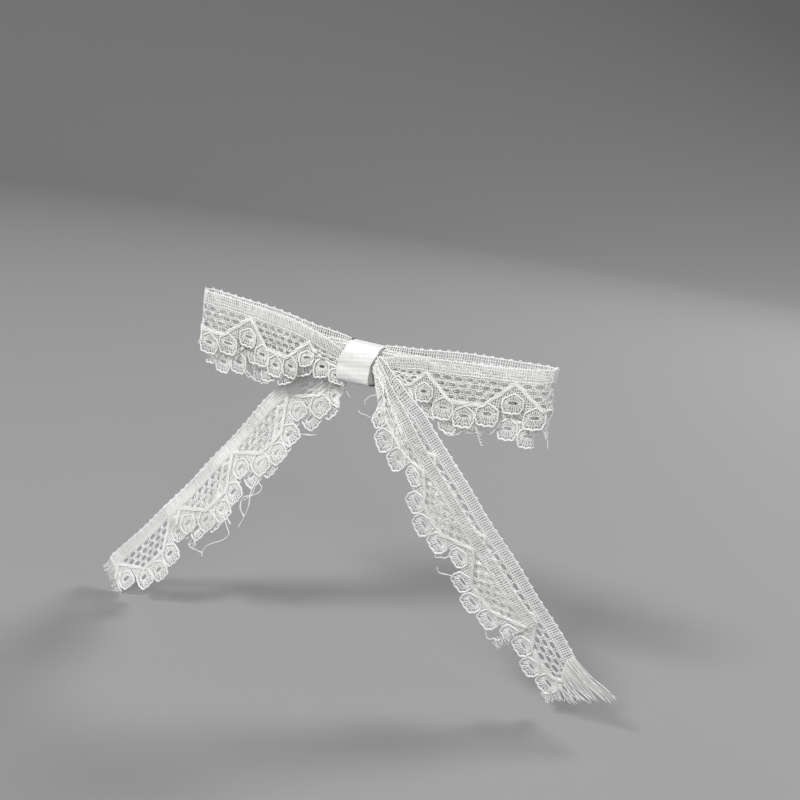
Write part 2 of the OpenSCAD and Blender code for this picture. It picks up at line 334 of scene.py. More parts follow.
# The net's round holes stand in rows, every second row half a step along
HOLE_ROWS = (3.3, 4.5, 5.7, 6.85)
HOLE_STEP = 2.25
HOLE_HALF = (0.93, 0.53)
HOLE_MARGIN = 0.38         # kept free between a hole and the cord
HOLE_LEAST = 0.22          # a hole with less room than this is left out
HOLE_POWER = 2.6           # how square the slits and the gaps in the net are
HOLE_RIM = 0.085           # radius of the thread round a hole or slit
NET_FLOOR = 5.9            # how far down the net goes at a peak; beside it, it goes lower


def from_peak(u):
    """Distance of u from the nearest peak of the zigzag."""
    return np.abs((np.asarray(u) + PERIOD / 2) % PERIOD - PERIOD / 2)


def cord_line(u):
    """Distance of the zigzag cord below the upper edge."""
    a = from_peak(u)
    fall = np.clip((a - CORD_BLUNT) / CORD_RUN, 0, 1) ** CORD_BOW
    return CORD_TOP + CORD_FALL * fall + CORD_SAG * ease(a, 5, 9)


def ground_holes():
    """The holes of half a repeat: from the peak, below the upper edge, and half sizes."""
    holes = []
    for n, w in enumerate(HOLE_ROWS):
        first = HOLE_STEP * (1 if n % 2 == 0 else 0.5)
        for u in np.arange(first, PERIOD / 2 + 0.1, HOLE_STEP):
            room = float(cord_line(u)) - HOLE_MARGIN - w
            if room > HOLE_LEAST:
                holes.append((float(u), w, HOLE_HALF[0], min(HOLE_HALF[1], room)))
    return holes


def petal_half(w, apex, foot):
    """Half the width of a petal at w, negative outside it."""
    t = (w - apex) / (foot - apex)
    shape = np.array(PETAL_SHAPE)
    half = np.interp(t, shape[:, 0], shape[:, 1])
    return np.where((t < 0) | (t > 1), -1, half)


def is_net(u, w):
    """Where the lace has its fine net: all but its holes, its petals and what is below."""
    a = from_peak(u)
    floor_w = NET_FLOOR + 2.7 * ease(a, 1.9, 2.6) + 0.9 * ease(a, 6.2, 7.2)
    inside = w < floor_w
    for middle, apex, foot in PETALS:
        inside &= np.abs(a - middle) > petal_half(w, apex, foot)
    for at_u, at_w, half_u, half_w in ground_holes():
        inside &= (np.abs(a - at_u) / half_u) ** HOLE_POWER + (
            np.abs(w - at_w) / half_w) ** HOLE_POWER > 1
    return inside


def runs(mask):
    """The stretches where mask is true, as slices."""
    edge = np.flatnonzero(np.diff(np.concatenate([[0], mask.astype(int), [0]])))
    return [slice(a, b) for a, b in zip(edge[::2], edge[1::2])]


class Lace:
    """The threads of a strip of lace. peak is where its zigzag peaks, start and end_at(w)
    are its two ends, and it has no petals before first_petal."""

    def __init__(self, length, peak, rng, start=0.0, end_at=None, first_petal=EVERY_PETAL):
        self.threads = Threads()
        self.peak, self.rng, self.start, self.first_petal = peak, rng, start, first_petal
        self.end_at = end_at or (lambda w: length + 0 * w)
        self.end = float(np.max(self.end_at(np.linspace(0, LACE_W, 9))))
        self.heading()
        self.net()
        self.zigzag()
        first = math.floor((start - peak) / PERIOD) - 1
        for n in range(first, first + math.ceil((self.end - start) / PERIOD) + 3):
            self.repeat(peak + n * PERIOD)

    def lay(self, s, w, h, radius, closed=False):
        """One thread, cut where the strip ends."""
        keep = (s <= self.end_at(w)) & (s >= self.start - 0.2)
        line = np.column_stack([s, w, h])
        if closed and keep.all():
            self.threads.add(line, radius, True)
            return
        if closed:
            line, keep = np.append(line, line[:1], 0), np.append(keep, keep[0])
        for run in runs(keep):
            self.threads.add(line[run], radius)

    def fine(self, s, w, h, radius, keep):
        """A fine thread where keep is true, with a point in three kept on each stretch."""
        keep = keep & (s < self.end_at(w))
        for run in runs(keep):
            i = np.arange(run.start, run.stop)
            i = i[(i % 3 == 0) | (i == run.start) | (i == run.stop - 1)]
            self.threads.add(np.column_stack([s[i], w[i], h[i]]), radius)

    def has_net(self, s, w):
        """Where this strip has net: plain net takes the place of petals that are left out."""
        return is_net(s - self.peak, w) | ((s < self.first_petal - 1) & (w < BARE_W))

    def heading(self):
        """The band along the upper edge, and the picots on it."""
        rng = self.rng
        s = np.arange(self.start, self.end, 0.5)
        for w0, radius, h in HEADING_THREADS:
            self.lay(s, w0 + 0.03 * np.sin(s * 1.7 + w0), h + 0 * s, radius)
        shift = (self.peak - self.start) % PICOT_PITCH
        for s0 in np.arange(self.start + shift, self.end - 0.4, PICOT_PITCH):
            tip = rng.uniform(0.1, 0.26)
            s = s0 + np.array(PICOT_S) + rng.uniform(-0.06, 0.06)
            self.lay(s, np.array([0.14, -0.03, -tip, -tip, -0.03, 0.14]), 0.02 + 0 * s, PICOT_R)

    def net(self):
        """The fine threads across the strip, and those along it below the heading."""
        rng = self.rng
        w = np.arange(0.05, LACE_W, FINE_STEP)
        for s0 in np.arange(self.start, self.end, RIB_PITCH):
            s = s0 + rng.uniform(-0.05, 0.05) + 0.04 * np.sin(w * 1.9 + s0 * 3)
            self.fine(s, w, 0.05 + 0.03 * np.sin(w * 12), rng.uniform(0.09, 0.115),
                      self.has_net(s, w))
        s = np.arange(self.start, self.end, FINE_STEP)
        for w0 in np.arange(HEADING_W + RUN_PITCH, LACE_W, RUN_PITCH):
            w = w0 + 0.05 * np.sin(s * 2.1 + w0 * 5) + rng.uniform(-0.03, 0.03)
            self.fine(s, w, -0.05 + 0.03 * np.sin(s * 12), rng.uniform(0.08, 0.1),
                      self.has_net(s, w))

    def zigzag(self):
        """The cord of four strands that runs in a zigzag above the petals."""
        s = np.arange(self.start, self.end, 0.3)
        line = cord_line(s - self.peak)
        steep = np.sqrt(1 + np.gradient(line, s) ** 2)
        for off in CORD_STRANDS:
            twist = s * 2.3 + off * 14
            self.lay(s, line + (off + 0.04 * np.sin(twist)) * steep,
                     CORD_H + 0.06 * np.cos(twist), CORD_R)

    def oval(self, s0, w0, half_s, half_w, power, h, radius):
        """A closed thread round (s0, w0); power is 2 for an ellipse, and more is squarer."""
        turn = np.arange(16) * 2 * math.pi / 16
        c, d = np.cos(turn), np.sin(turn)
        s = s0 + half_s * np.sign(c) * np.abs(c) ** (2 / power)
        self.lay(s, w0 + half_w * np.sign(d) * np.abs(d) ** (2 / power), h + 0 * s, radius, True)

    def repeat(self, peak):
        """The holes and petals of one repeat of the pattern."""
        rng = self.rng
        for sign in (-1, 1):
            for at_u, at_w, half_u, half_w in ground_holes():
                if sign < 0 or at_u < PERIOD / 2 - 0.05:
                    grow = rng.uniform(0.85, 1.04)
                    self.oval(peak + sign * at_u, at_w, half_u * grow, half_w * grow, 2.4, 0.05,
                              HOLE_RIM)
            for middle, apex, foot in PETALS:
                if (sign > 0 or middle > 0) and not (sign > 0 and middle == PERIOD / 2):
                    self.petal(peak + sign * middle, apex, foot)

    def petal(self, s0, apex, foot):
        """A petal: a thick frame with bumps along its foot, a slit, and short bars."""
        if s0 < max(self.start + 0.3, self.first_petal) or s0 > self.end + 1:
            return
        rng = self.rng
        mid = apex + PETAL_MIDDLE * (foot - apex)
        t = np.linspace(0, 1, 40)
        half = np.interp(t, *np.array(PETAL_SHAPE).T)
        ds = np.concatenate([half, half[-1] * np.linspace(0.8, -0.8, 5), -half[::-1]])
        dw = np.concatenate([apex + (foot - apex) * t, np.full(5, foot),
                             apex + (foot - apex) * t[::-1]]) - mid
        order = np.argsort(np.arctan2(dw, ds))
        angles, reach = np.arctan2(dw, ds)[order], np.hypot(ds, dw)[order]

        def outline(a):
            """The petal's radius at angle a, scalloped along its foot."""
            low = ease(np.sin(a), 0.2, 0.5)
            bumps = 1 + PETAL_BUMPS * low * (np.abs(np.cos(5 * (a - math.pi / 2))) - 0.5)
            return np.interp((a + math.pi) % (2 * math.pi) - math.pi, angles, reach,
                             period=2 * math.pi) * bumps

        size = rng.uniform(0.96, 1.02) - (0.07 if apex < PETALS[1][1] else 0)
        a = np.arange(44) * 2 * math.pi / 44
        r = outline(a) * size
        height = FRAME_H + rng.uniform(-0.03, 0.03)
        self.lay(s0 + r * np.cos(a), mid + r * np.sin(a), height + 0 * a, FRAME_R, True)
        a = np.arange(20) * 2 * math.pi / 20
        r = outline(a) * 0.68
        self.lay(s0 + r * np.cos(a), mid + r * np.sin(a), 0.02 + 0 * a, 0.06, True)
        slit_s = SLIT_HALF[0] + rng.uniform(-0.16, 0.1)
        slit_w = SLIT_HALF[1] + rng.uniform(-0.08, 0.05)
        self.oval(s0, mid, slit_s, slit_w, HOLE_POWER, 0.08, HOLE_RIM)
        a = (np.arange(BARS) + rng.uniform(-0.15, 0.15, BARS)) * 2 * math.pi / BARS
        for angle, r in zip(a, outline(a) * size * 0.97):
            inner = np.array([slit_s * math.cos(angle), slit_w * math.sin(angle)])
            outer = np.array([r * math.cos(angle), r * math.sin(angle)])
            line = inner + (outer - inner) * np.linspace(0, 1, 4)[:, None]
            self.lay(s0 + line[:, 0], mid + line[:, 1], 0.03 + 0 * line[:, 0], BAR_R)


# ---- how a strip is gathered ----

FOLD = (2.4, 4.0, 7.0, 8.6)    # where across the strip folding sets in, is full, and ends
TIGHTEST = 0.35                # the least width of the folded middle, of its flat width
FOLD_W = np.linspace(-2, LACE_W + 2, 400)
FOLD_SO_FAR = np.cumsum(ease(FOLD_W, *FOLD[:2]) * (1 - ease(FOLD_W, *FOLD[2:]))) * (
    FOLD_W[1] - FOLD_W[0])
FOLD_ALL = FOLD_SO_FAR[-1]


def gathered(w, width):
    """Where w lies on a strip drawn in to width: its middle folds up first. Also gives how
    far through the folded middle w is, and how tightly it is folded."""
    through = np.interp(w, FOLD_W, FOLD_SO_FAR)
    middle = np.maximum(TIGHTEST, 1 - (LACE_W - width) / FOLD_ALL)
    edges = (width - middle * FOLD_ALL) / (LACE_W - FOLD_ALL)
    return edges * w + (middle - edges) * through, through / FOLD_ALL, 1 - middle


# ---- the loops ----

LACE_T = 0.35              # how thick a layer of lace is
LAYER = 0.45               # from one layer in the knot to the next
LAYERS = 8
STACK_FRONT = -8.05        # the front of the stack of layers
KNOT_X = 3.45              # half the length of the knot
KNOT_W = 6.9               # the width of the lace where it leaves the knot
KNOT_TOP = 4.05            # how high a loop's upper edge is there


def layer_y(n):
    """The middle of layer n of the knot, counted from the front."""
    return STACK_FRONT + (n + 0.5) * LAYER


def loop_path(reach, n, m, bulge):
    """The loop seen from above, out along layer n and back along layer m."""
    front, back = layer_y(n), layer_y(m)
    span = reach - KNOT_X
    end_y = (front + back) / 2 - 0.55 * bulge
    turn = 1.5 * (m - n) / 3
    return smooth_curve([(KNOT_X, front),
                         (KNOT_X + 0.2 * span, front - 0.55 * bulge),
                         (KNOT_X + 0.5 * span, front - bulge),
                         (KNOT_X + 0.8 * span, front - 1.05 * bulge),
                         (reach - 1.6, end_y - turn),
                         (reach - LACE_T / 2, end_y),
                         (reach - 1.6, end_y + turn),
                         (KNOT_X + 0.7 * span, back - 0.22 * bulge),
                         (KNOT_X + 0.35 * span, back - 0.02 * bulge),
                         (KNOT_X, back)], 12)


def make_loop(name, side, reach, top, drop, n, m, bulge, peak, seed, sag, extra, up_to,
              open_x):
    """A loop of lace out to x = reach, on layers n and m of the knot. top is the height of
    its end, less drop, and bulge how far it swells forward. peak is where the zigzag peaks
    in front, along the strip from the knot, and sag how far the front hangs below the back
    at each x. Up to the place up_to the strip is drawn in along its length, where extra more
    of it is gathered. At x = open_x the lace has its full width."""
    path = loop_path(reach, n, m, bulge)
    run = lengths(path)
    length = run[-1]
    turn_at = run[np.argmax(path[:, 0])]
    tops = smooth_curve([(KNOT_X, KNOT_TOP - drop / 4), (6.5, 4.55 - drop * 0.4),
                         (10, 5.2 - drop * 0.6), (22, top - 1.1 - drop),
                         (reach + 1, top - drop)], 8)
    sag_x, sag_by = np.array(sag).T
    heading = np.gradient(path, run, axis=0)

    def place(p):
        s, w, h = p[:, 0], p[:, 1], p[:, 2]
        at = np.interp(s, [-extra, up_to, length], [0, up_to, length])
        x, y = np.interp(at, run, path[:, 0]), np.interp(at, run, path[:, 1])
        dx, dy = np.interp(at, run, heading[:, 0]), np.interp(at, run, heading[:, 1])
        size = np.hypot(dx, dy)
        out_x, out_y = dy / size, -dx / size
        front = 1 - ease(s, turn_at - 4, turn_at + 4)
        z_top = np.interp(x, tops[:, 0], tops[:, 1]) - front * np.interp(x, sag_x, sag_by)
        # the back half stands a little higher near the knot
        z_top += 0.4 * (1 - front) * (1 - ease(x, 5, 12))
        near = 1 - ease(x, KNOT_X, open_x)
        below, through, tight = gathered(w, LACE_W - near * (LACE_W - KNOT_W))
        # the pleats at the knot are the same in every layer, so that they nest
        pleat = 0.3 * tight * np.sin(through * 2 * math.pi * 2.5) + (
            0.22 * near * np.sin(w * 2.4 + 0.6) * (1 - ease(w, 2, 5)))
        flute = 0.2 * np.sin(at * 0.9 + seed) * ease(x, 5, 8) * (1 - ease(x, 12, 20)) * (
            ease(w, 3, 9))
        h = h + flute + 0.16 * np.sin(at * 0.41 + seed) * np.sin(w * 0.5 + seed * 2)
        x, y = x + out_x * h, y + out_y * h + pleat
        return np.column_stack([side * x, y, z_top - below])

    lace = Lace(length, peak, np.random.default_rng(seed), start=-extra)
    obj = lace.threads.build(name, place, 5, COTTON)
    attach(obj, "bow")
    return obj


# How far a loop's front hangs below its back, at each x
LOW_FRONT = ((3.4, 1.8), (5, 1.8), (8, 1.2), (12, 1), (20, 1.3), (26, 1.1), (30, 1), (35, 0.5),
             (39, 0))
FOLDED_BACK = ((3.4, 2.5), (5, 2), (7, 1.3), (10, 0.5), (14, 0.1), (18, 0))
LEVEL = ((0, 0), (40, 0))
OUTER = dict(drop=0, n=2, m=5, bulge=2, open_x=14)
INNER = dict(drop=3, n=3, m=4, bulge=1.45, open_x=22, sag=LEVEL)
loop_or = make_loop("lace_loop_outer_right", 1, reach=39, top=7.9, peak=10.8, seed=11,
                    sag=LOW_FRONT, extra=3.6, up_to=10.8, **OUTER)
loop_ir = make_loop("lace_loop_inner_right", 1, reach=37, top=7.6, peak=23.2, seed=12,
                    extra=4.5, up_to=33, **INNER)
loop_ol = make_loop("lace_loop_outer_left", -1, reach=36.5, top=8.1, peak=21, seed=13,
                    sag=FOLDED_BACK, extra=8, up_to=20.8, **OUTER)
loop_il = make_loop("lace_loop_inner_left", -1, reach=34.5, top=7.8, peak=17, seed=14,
                    extra=7, up_to=30, **INNER)
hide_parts("outer_loop_right")
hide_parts("inner_loop_right")
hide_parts("outer_loop_left")
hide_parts("inner_loop_left")

# ---- the tails ----

WHOLE_TURN = 6.28
FRAY_SEED = 50             # added to a tail's seed for its fray
ROOT_TOP = -1.7            # where a tail's upper edge leaves the knot, above its own line
RIGHT_SLOPE = 47.2         # degrees below level
LEFT_SLOPE = 51.8
RIGHT_BEND = 40            # how far along a tail its line turns
LEFT_BEND = 30


def tail_place(side, slope, start_z, line, heading, spread, roll, root_low, length, bend):
    """Where a point of a tail lies, with the CAD tail's own formulas. line is the tail seen
    from above, heading how far its edge rises from its line, and spread the length over
    which it opens, from root_low at the knot. It rolls by roll degrees, and bend gives how
    far the strip strays downwards in its own plane along its length."""
    bend_s, bend_by = np.array(bend).T
    curve = smooth_curve(line, 6)
    slope, roll = math.radians(slope), math.radians(roll)
    along = np.array([math.cos(slope), 0, -math.sin(slope)])
    down = np.array([-math.sin(slope), 0, -math.cos(slope)])
    end_slope = (curve[-1, 1] - curve[-2, 1]) / (curve[-1, 0] - curve[-2, 0])

    def place(p):
        s, w, h = p[:, 0], p[:, 1], p[:, 2]
        g = np.minimum(1, np.sqrt(np.maximum(s, 0) / spread))
        below, through, tight = gathered(w, (1 - g) * (root_low - ROOT_TOP) + g * LACE_W)
        v = below + (1 - g) * ROOT_TOP - g * heading + np.interp(s, bend_s, bend_by)
        upright = math.tan(slope) * np.maximum(0, 1 - s / 8)
        a = roll * np.clip((s - 6) / 20, 0, 1)
        y = np.interp(s, curve[:, 0], curve[:, 1]) + np.maximum(0, s - length) * end_slope
        reach = s + upright * v
        turned = down * np.cos(a)[:, None] + np.array([0, -1, 0]) * np.sin(a)[:, None]
        out = turned * v[:, None] + along * reach[:, None]
        face = np.cross(along, turned)
        pleat = 0.3 * tight * np.sin(through * 2 * math.pi * 3)
        wave = 0.18 * np.sin(s * 0.37 + length) * np.sin(w * 0.45 + 1)
        # inside the knot the tail lies flatter and further back, under the ribbon
        under = 1 - ease(out[:, 0], -1.6, 0.2)
        out = out + face * (-(h + pleat + wave * ease(s, 2, 10)) * (1 - 0.7 * under))[:, None]
        out += np.column_stack([0 * s + KNOT_X + 0.1, y + 0.45 * under, 0 * s + start_z])
        return out * [side, 1, 1]
    return place


def right_line(n, length, lift):
    """A right tail seen from above, from layer n of the knot, lift further forward."""
    y = layer_y(n)
    return [(0, y), (3, y - 0.5), (8, y - 1.6), (15, y - 2.4), (24, y - 2.2 - lift),
            (RIGHT_BEND, y - 0.4 - lift),
            (length, y - 0.4 - lift + (length - RIGHT_BEND) * 0.17)]


def left_line(n, length):
    """A left tail seen from above, from layer n of the knot."""
    y = layer_y(n)
    return [(0, y), (8, y + 0.05), (16, y - 0.3), (LEFT_BEND, y - 1.3),
            (length, y - 1.3 - (length - LEFT_BEND) * 0.05)]


def make_tail(name, node, place, length, peak, seed, start, end_at, fray,
              first_petal=EVERY_PETAL):
    """A tail of lace with its frayed end; see Lace and make_fray for what it is given."""
    lace = Lace(length, peak, np.random.default_rng(seed), start, end_at, first_petal)
    obj = lace.threads.build(name, place, 5, COTTON)
    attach(obj, "bow")
    frays = make_fray(name + "_fray", place, fray, seed + FRAY_SEED)
    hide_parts(node)


def make_fray(name, place, fray, seed):
    """Loose ends of thread past a cut. fray holds rows of: where across the strip, from
    where along it, to where, and how far across it drifts; number, and waviness."""
    rng = np.random.default_rng(seed)
    out = Threads()
    for w0, w1, from_0, from_1, to_0, to_1, drift_0, drift_1, number, waviness in fray:
        for k in range(number):
            t = (k + rng.uniform(0.1, 0.9)) / number
            begin = from_0 + (from_1 - from_0) * t
            end = to_0 + (to_1 - to_0) * t + rng.uniform(-0.7, 0.4)
            drift = drift_0 + (drift_1 - drift_0) * t + rng.uniform(-0.3, 0.3)
            q = np.linspace(0, 1, 14)
            bend = waviness * rng.uniform(0.3, 1.2)
            turn = rng.uniform(0, WHOLE_TURN)
            w = w0 + (w1 - w0) * t + drift * q ** 1.4 + bend * q * np.sin(q * 7 + turn)
            h = bend * q * np.cos(q * 6 + turn * 2) + 0.05
            s = begin + (end - begin) * q + 0.3 * bend * np.sin(q * 9 + turn)
            out.add(np.column_stack([s, w, h]), rng.uniform(0.05, 0.075))
    obj = out.build(name, place, 5, FINE_COTTON)
    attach(obj, "bow")
    return obj


def right_place(n, length, lift, heading, spread, bend):
    """The place of a right tail, from layer n of the knot."""
    return tail_place(1, RIGHT_SLOPE, -0.2, right_line(n, length, lift), heading, spread,
                      roll=-13, root_low=1.7, length=length, bend=bend)


def left_place(n, length, heading, bend):
    """The place of a left tail, from layer n of the knot."""
    return tail_place(-1, LEFT_SLOPE, -0.7, left_line(n, length), heading, spread=14,
                      roll=16, root_low=3.3, length=length, bend=bend)


# The lengths of the tails, front and back, and where the right ones start, in the knot
RIGHT_FRONT, RIGHT_BACK, LEFT_FRONT, LEFT_BACK = 58, 76, 56, 76
RIGHT_START = -1.3
RIGHT_PETALS = 5           # the right tails have no petals before this

place_rf = right_place(0, RIGHT_FRONT, lift=0.2, heading=1.4, spread=32,
                       bend=((5, 0), (12, -0.5), (32, -0.5), (45, 0)))
place_rb = right_place(1, RIGHT_BACK, lift=0, heading=4.6, spread=20,
                       bend=((4, 0), (12, -1.1), (28, -1.2), (45, -0.7), (60, 0), (66, 0.5)))
place_lf = left_place(6, LEFT_FRONT, heading=6,
                      bend=((4, 0), (11, -0.7), (20, -0.8), (30, 0), (40, 0.7), (50, 1.4)))
place_lb = left_place(7, LEFT_BACK, heading=5.5,
                      bend=((4, 0), (11, -0.8), (20, -0.8), (30, 0), (50, 0.6), (64, 0.8),
                            (74, 0.6)))
make_tail("lace_tail_right_front", "right_tail_front", place_rf, RIGHT_FRONT, peak=21.5,
          seed=21, start=RIGHT_START, first_petal=RIGHT_PETALS,
          end_at=lambda w: RIGHT_FRONT + 0.15 * np.sin(w * 3),
          fray=[(0.2, 12, 57.5, 57.5, 58.6, 59, 0, 0, 26, 0.2),
                (9, 11.5, 57, 57, 59, 59.8, 0.5, 1, 3, 0.4)])
make_tail("lace_tail_right_back", "right_tail_back", place_rb, RIGHT_BACK, peak=56.3,
          seed=22, start=RIGHT_START, first_petal=RIGHT_PETALS,
          end_at=lambda w: 67 + 5 * ease(w, 2, 8) - 0.5 * ease(w, 10, 12.5),
          fray=[(0.1, 2.6, 66.5, 67, 78.6, 77.5, -2.6, -1.8, 13, 0.25),
                (2.6, 8, 67, 71.5, 77.3, 75, -1.6, 0.2, 24, 0.4),
                (8, 12.2, 71, 71, 74.2, 73.2, 0.3, 0.4, 16, 0.3)])
make_tail("lace_tail_left_front", "left_tail_front", place_lf, LEFT_FRONT, peak=15.2,
          seed=23, start=0,
          end_at=lambda w: LEFT_FRONT - 4 * w / LACE_W,
          fray=[(0.2, 12, 55.6, 51.8, 56.7, 53, 0, 0, 26, 0.25)])
make_tail("lace_tail_left_back", "left_tail_back", place_lb, LEFT_BACK, peak=18.6,
          seed=24, start=0,
          end_at=lambda w: 74 + 1.6 * ease(w, 2, 6),
          fray=[(0.1, 3, 73.6, 74.2, 76.8, 76.8, 0.2, 0.3, 13, 0.25),
                (3, 8.4, 74.2, 75.2, 76.8, 77, 0.3, 0.4, 18, 0.35)])

# ---- loose threads ----

LOOSE_R = 0.08
TUFT = dict(strands=2, spread=0.12)


def make_loose(name, routes, seed, radius=LOOSE_R, strands=1, spread=0.0):
    """Loose threads along routes of (x, y, z); each may be a tuft of strands, which drift
    apart by about spread towards its end."""
    rng = np.random.default_rng(seed)
    out = Threads()
    for route in routes:
        for _ in range(strands):
            line = np.array(route, float)
            line += rng.normal(0, 1, line.shape) * spread * np.linspace(0, 1, len(line))[:, None]
            out.add(smooth_curve(line, 6), radius)
    obj = out.build(name, lambda p: p, 5, FINE_COTTON)
    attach(obj, "bow")


def curl(start, end, turns, size):
    """A curly route from start to end."""
    q = np.linspace(0, 1, 8 * turns)[:, None]
    line = np.array(start) + (np.array(end) - np.array(start)) * q
    turn = q[:, 0] * turns * 2 * math.pi
    line[:, 0] += size * np.cos(turn)
    line[:, 1] += size * np.sin(turn)
    return line


def on_strip(place, route):
    """A route given on a strip (along, across, height), in place."""
    return place(np.array(route, float))


make_loose("loose_right_loop",
           [curl((25.8, -8.7, -6.3), (27.5, -8.6, -9.4), 6, 0.22),
            [(25.4, -8.7, -5.6), (25.9, -8.9, -6.5), (26.6, -8.9, -7.2), (27.1, -8.7, -7.5)],
            [(19.6, -8.2, -9), (20.6, -8.6, -9.1), (21.6, -8.6, -8.8), (22.6, -8.4, -8.3),
             (23.3, -8.3, -7.2)],
            [(30.4, -8.8, -4.6), (29.6, -8.8, -5.6), (29.2, -9, -6.3), (28.7, -9, -6.8)],
            [(38.5, -7.8, -2.6), (38.9, -7.9, -4.2), (39, -7.9, -5), (39.6, -7.8, -5.8),
             (39.8, -7.8, -7.2)],
            [(38.6, -7.8, -4.4), (39.4, -8, -4.8), (39.3, -8, -5.4)]], 31, 0.085)
make_loose("loose_left_loop",
           [[(-25.4, -8.2, -6.3), (-24.6, -8.4, -6.8), (-23.7, -8.4, -7.7), (-23.2, -8.3, -7.5)],
            [(-24.4, -8.2, -6.5), (-23.5, -8.4, -7.1), (-22.2, -8.4, -8), (-21, -8.2, -8.2)]],
           32, 0.085, **TUFT)
make_loose("loose_knot",
           [[(4.9, -8.2, -4.9), (3.7, -8.5, -5.2), (3, -8.7, -5.9), (2.6, -8.8, -6.7),
             (2.9, -8.7, -7.3)],
            [(1.5, -8.8, -8.7), (2.3, -8.9, -9.1), (3.3, -8.8, -9.2), (4.4, -8.6, -9.6)],
            [(-4.4, -5.5, -6), (-3, -5.8, -6.1), (-2.5, -5.9, -6.6), (-1.9, -5.9, -7.2)]], 33)
make_loose("loose_left_tail",
           [on_strip(place_lf, route) for route in (
               [(29, 10.4, -0.4), (31, 12, 0.2), (31, 13.4, 0.5), (32, 14, 0.6), (34.5, 13, 0.4),
                (36.2, 12.6, 0.2)],
               [(30, 10.6, -0.4), (33.5, 12.4, 0.4), (35.5, 14.3, 0.6), (37.6, 15.2, 0.3),
                (40.4, 15.9, 0)],
               [(31, 10.6, -0.4), (33.7, 13, 0.4), (35.9, 12.2, 0.6), (37.7, 13.3, 0.4),
                (38, 15.2, 0)],
               [(19, 9.8, 0), (17.9, 10.8, 0.1), (16.4, 12.1, 0.2), (15, 13.3, 0.2)],
               [(41.5, 10.8, 0), (41.8, 12.2, 0.2), (41.8, 14.4, 0.3)],
               [(48.6, 9.6, 0.2), (49.2, 10.2, 0.3), (51.3, 10.4, 0.3), (52, 11.6, 0.2)],
               [(53.6, 10.2, 0), (53.4, 11.4, 0), (52.3, 12.7, 0.2), (51.5, 13.9, 0.2)])],
           34, **TUFT)
make_loose("loose_left_tail_long",
           [on_strip(place_lf, [(42.6, 11.5, 0), (42.8, 14, 0.3), (43.2, 15.8, 0.5),
                                (45.2, 15.6, 0.6), (47.3, 14.6, 0.5), (49.5, 13.7, 0.3),
                                (51.2, 13.8, 0), (52, 14.6, 0)])], 35, 0.1)
make_loose("loose_right_tail",
           [on_strip(place_rf, route) for route in (
               [(35.6, 10.4, 0), (36.4, 11.1, 0.1), (37.2, 11.8, 0.2), (37.5, 11.2, 0.3),
                (37.8, 10.6, 0.2), (38.2, 9.6, 0.3), (38.2, 8.4, 0.1)],
               [(42.8, 10, 0), (42, 10.8, 0.1), (41.2, 11.9, 0.2), (40.4, 12.9, 0.3),
                (39.8, 13, 0.3), (39.2, 12.7, 0.3)],
               [(53.4, 10.4, 0), (55, 11.6, 0.1), (56.2, 12.2, 0.3), (56.8, 11.6, 0.4),
                (57, 10.8, 0.2), (57.4, 10.2, 0.4), (57.6, 9.4, 0.2)])], 36, **TUFT)

# ---- the gathered middle ----

GATHER_X = 3.38            # half its length
GATHER_Z = (-3.55, 3.6)
GATHER_BACK = -4.45
GATHER_HALF_T = 0.15
ASLANT = 1.1               # how far the ribbon and the gather lean to the left, low in front


def slab_faces(a, b, base=0):
    """The faces of a closed slab between two grids of a by b points. The first grid faces
    along its first direction crossed with its second."""
    sheet = a * b
    i, j = [g.ravel() for g in np.meshgrid(np.arange(a - 1), np.arange(b - 1), indexing="ij")]
    k = base + i * b + j
    faces = [np.column_stack([k, k + b, k + b + 1, k + 1]),
             np.column_stack([k, k + 1, k + b + 1, k + b]) + sheet]
    rim = np.concatenate([np.arange(b), np.arange(1, a) * b + b - 1,
                          (a - 1) * b + np.arange(b - 2, -1, -1), np.arange(a - 2, 0, -1) * b])
    rim = rim + base
    following = np.roll(rim, -1)
    faces.append(np.column_stack([rim, following, following + sheet, rim + sheet]))
    return np.concatenate(faces)


def slab(name, front, back, a, b, mat):
    """A closed slab between the grids front and back, of a by b points."""
    faces = slab_faces(a, b)
    return new_mesh(name, np.concatenate([front, back]), np.full(len(faces), 4),
                    faces.ravel(), mat)


def make_gather():
    """The eight layers of lace pressed in pleats under the ribbon."""
    xs = np.linspace(-GATHER_X, GATHER_X, 9)
    zs = np.linspace(*GATHER_Z, 57)
    x, z = [g.ravel() for g in np.meshgrid(xs, zs, indexing="ij")]
    squeeze = 1 - 0.03 * np.cos(x / 3.4 * math.pi / 2)
    pleat = 0.18 * np.sin(z * 3.1 + 0.6)
    mid = (STACK_FRONT + GATHER_BACK) / 2
    verts, faces = [], []
    for n in range(LAYERS):
        y = mid + (layer_y(n) + pleat - mid) * squeeze * np.sqrt(1 - (z / 4.4) ** 2 * 0.35)
        y += 0.6 * ease(z, 1.2, 3.4) * (1 - n / LAYERS)
        lean = np.abs(x + GATHER_X) / (2 * GATHER_X) * ASLANT * (1 - ease(z, 0, 3.3)) * (
            1 - n / LAYERS)
        for depth in (-GATHER_HALF_T, GATHER_HALF_T):
            verts.append(np.column_stack([x - lean, y + depth, z * squeeze]))
        faces.append(slab_faces(len(xs), len(zs), n * 2 * len(x)))
    faces = np.concatenate(faces)
    obj = new_mesh("gathered_lace", np.concatenate(verts), np.full(len(faces), 4),
                   faces.ravel(), COTTON)
    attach(obj, "bow")
    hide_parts("gathered_centre")


make_gather()

# ---- the satin ribbon ----

WRAP_T = 0.25
WRAP_BACK = -3.4           # back face of the ribbon, over the clip's plate
WRAP_MID = -5.6            # where the front's curve begins
ROUND_ABOVE, BOXY_BELOW = 2.9, 4.6


